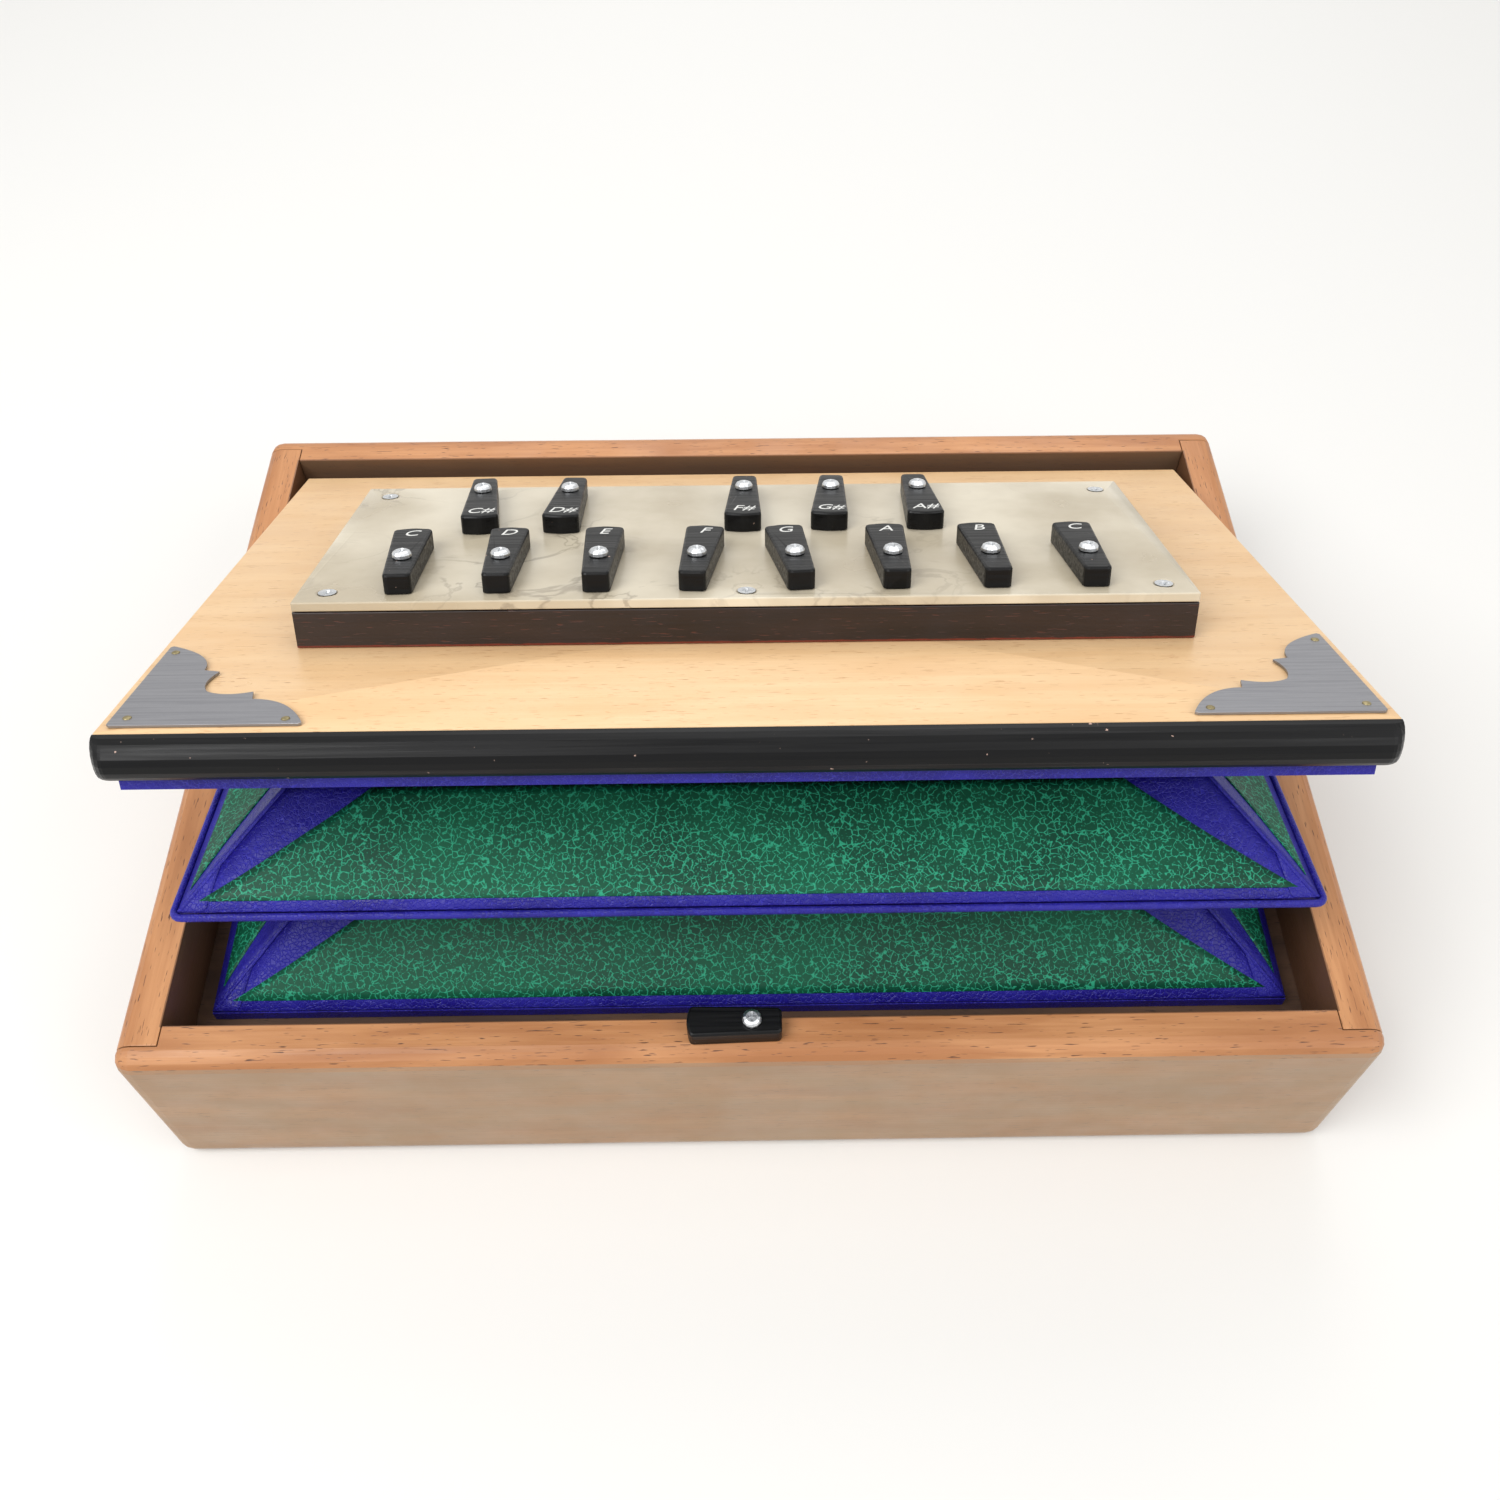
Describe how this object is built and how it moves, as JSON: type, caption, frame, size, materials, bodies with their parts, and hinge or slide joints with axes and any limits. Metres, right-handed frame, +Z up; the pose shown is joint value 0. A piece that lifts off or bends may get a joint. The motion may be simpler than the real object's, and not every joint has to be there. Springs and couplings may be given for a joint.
{
  "type": "shruti box",
  "caption": "Shruti box lying open on its back: beech tray, lid sprung up on a two-fold bellows, note stops on a sound panel, and a turn-button latch.",
  "frame": {"origin": "centre of the tray's footprint, on the plane it rests on", "axes": "+X to the right along the front rail, +Y to the rear where the lid is hinged, +Z up"},
  "size_m": [0.4, 0.285, 0.1746],
  "materials": {
    "beech": "satin clear lacquer over beech",
    "plywood": "raw plywood",
    "veneer": "pale beech veneer, satin lacquer",
    "dark_wood": "near-black stain under lacquer",
    "black_paint": "gloss black paint on wood",
    "green_cloth": "green crinkled leathercloth on card",
    "blue_leather": "thin blue-violet leather",
    "tan_leather": "soft tan valve leather",
    "cream_sheet": "cream sheet with grey-brown marble figure",
    "zinc": "zinc plate",
    "brass": "rolled brass",
    "spring_steel": "bare spring wire"
  },
  "bodies": {
    "tray": {"front_rail": "beech", "rear_rail": "beech", "left_rail": "beech", "right_rail": "beech", "bottom_board": "plywood", "chest_board": "plywood", "bellows_base": "blue_leather", "hinge_strip": "blue_leather", "flap_strip": "plywood", "return_spring": "spring_steel", "latch_screw": "zinc"},
    "lid": {"lid_board": "veneer", "bellows_top": "blue_leather", "nose_bar": "black_paint", "corner_plate_left": "zinc", "corner_plate_right": "zinc", "reed_block": "dark_wood", "reed_plate_front": "brass", "reed_plate_rear": "brass", "sound_panel": "cream_sheet", "panel_screw_1": "zinc", "panel_screw_2": "zinc", "panel_screw_3": "zinc", "panel_screw_4": "zinc", "panel_screw_5": "zinc", "screw_c_low": "zinc", "screw_d": "zinc", "screw_e": "zinc", "screw_f": "zinc", "screw_g": "zinc", "screw_a": "zinc", "screw_b": "zinc", "screw_c_high": "zinc", "screw_c_sharp": "zinc", "screw_d_sharp": "zinc", "screw_f_sharp": "zinc", "screw_g_sharp": "zinc", "screw_a_sharp": "zinc"},
    "fold": {"middle_ridge": "blue_leather", "leaf_1": "green_cloth", "leaf_2": "green_cloth", "leaf_3": "green_cloth", "leaf_4": "green_cloth"},
    "flap": {"intake_flap": "tan_leather"},
    "latch": {"latch_button": "black_paint"},
    "note_c_low": {"stop_c_low": "black_paint"},
    "note_d": {"stop_d": "black_paint"},
    "note_e": {"stop_e": "black_paint"},
    "note_f": {"stop_f": "black_paint"},
    "note_g": {"stop_g": "black_paint"},
    "note_a": {"stop_a": "black_paint"},
    "note_b": {"stop_b": "black_paint"},
    "note_c_high": {"stop_c_high": "black_paint"},
    "note_c_sharp": {"stop_c_sharp": "black_paint"},
    "note_d_sharp": {"stop_d_sharp": "black_paint"},
    "note_f_sharp": {"stop_f_sharp": "black_paint"},
    "note_g_sharp": {"stop_g_sharp": "black_paint"},
    "note_a_sharp": {"stop_a_sharp": "black_paint"}
  },
  "joints": [
    {"name": "lid_hinge", "type": "hinge", "parent": "tray", "child": "lid", "pos_m": [0, 0.1125, 0.056], "axis": [1, 0, 0], "range_deg": [0, 26.1], "stiffness_Nm_per_rad": 2.4, "springref_deg": -59.99, "deforming": ["return_spring"]},
    {"name": "fold_hinge", "type": "hinge", "parent": "tray", "child": "fold", "pos_m": [0, 0.1125, 0.056], "axis": [1, 0, 0], "range_deg": [0, 13.1], "deforming": ["leaf_1", "leaf_2", "leaf_3", "leaf_4", "middle_ridge"]},
    {"name": "flap_hinge", "type": "hinge", "parent": "tray", "child": "flap", "pos_m": [0, -0.03847, 0.05328], "axis": [1, 0, 0], "range_deg": [-4, 0]},
    {"name": "latch_turn", "type": "hinge", "parent": "tray", "child": "latch", "pos_m": [0, -0.1325, 0.0743], "axis": [0, 0, 1], "range_deg": [-90, 0]},
    {"name": "turn_c_low", "type": "hinge", "parent": "lid", "child": "note_c_low", "pos_m": [-0.1084, -0.01258, 0.15414], "axis": [0, 0.4399, 0.898], "range_deg": [0, 32.5]},
    {"name": "turn_d", "type": "hinge", "parent": "lid", "child": "note_d", "pos_m": [-0.07742, -0.01258, 0.15414], "axis": [0, 0.4399, 0.898], "range_deg": [0, 35]},
    {"name": "turn_e", "type": "hinge", "parent": "lid", "child": "note_e", "pos_m": [-0.04646, -0.01258, 0.15414], "axis": [0, 0.4399, 0.898], "range_deg": [0, 36]},
    {"name": "turn_f", "type": "hinge", "parent": "lid", "child": "note_f", "pos_m": [-0.01549, -0.01258, 0.15414], "axis": [0, 0.4399, 0.898], "range_deg": [0, 41]},
    {"name": "turn_g", "type": "hinge", "parent": "lid", "child": "note_g", "pos_m": [0.01549, -0.01258, 0.15414], "axis": [0, 0.4399, 0.898], "range_deg": [0, 30]},
    {"name": "turn_a", "type": "hinge", "parent": "lid", "child": "note_a", "pos_m": [0.04646, -0.01258, 0.15414], "axis": [0, 0.4399, 0.898], "range_deg": [0, 35.5]},
    {"name": "turn_b", "type": "hinge", "parent": "lid", "child": "note_b", "pos_m": [0.07742, -0.01258, 0.15414], "axis": [0, 0.4399, 0.898], "range_deg": [0, 34.5]},
    {"name": "turn_c_high", "type": "hinge", "parent": "lid", "child": "note_c_high", "pos_m": [0.1084, -0.01258, 0.15414], "axis": [0, 0.4399, 0.898], "range_deg": [0, 36]},
    {"name": "turn_c_sharp", "type": "hinge", "parent": "lid", "child": "note_c_sharp", "pos_m": [-0.09291, 0.04741, 0.12475], "axis": [0, 0.4399, 0.898], "range_deg": [0, 30.5]},
    {"name": "turn_d_sharp", "type": "hinge", "parent": "lid", "child": "note_d_sharp", "pos_m": [-0.06194, 0.04741, 0.12475], "axis": [0, 0.4399, 0.898], "range_deg": [0, 38]},
    {"name": "turn_f_sharp", "type": "hinge", "parent": "lid", "child": "note_f_sharp", "pos_m": [0, 0.04741, 0.12475], "axis": [0, 0.4399, 0.898], "range_deg": [0, 37.5]},
    {"name": "turn_g_sharp", "type": "hinge", "parent": "lid", "child": "note_g_sharp", "pos_m": [0.03097, 0.04741, 0.12475], "axis": [0, 0.4399, 0.898], "range_deg": [0, 40.5]},
    {"name": "turn_a_sharp", "type": "hinge", "parent": "lid", "child": "note_a_sharp", "pos_m": [0.06194, 0.04741, 0.12475], "axis": [0, 0.4399, 0.898], "range_deg": [0, 36]}
  ],
  "couplings": [
    {"joint": "fold_hinge", "follows": "lid_hinge", "ratio": 0.5}
  ]
}
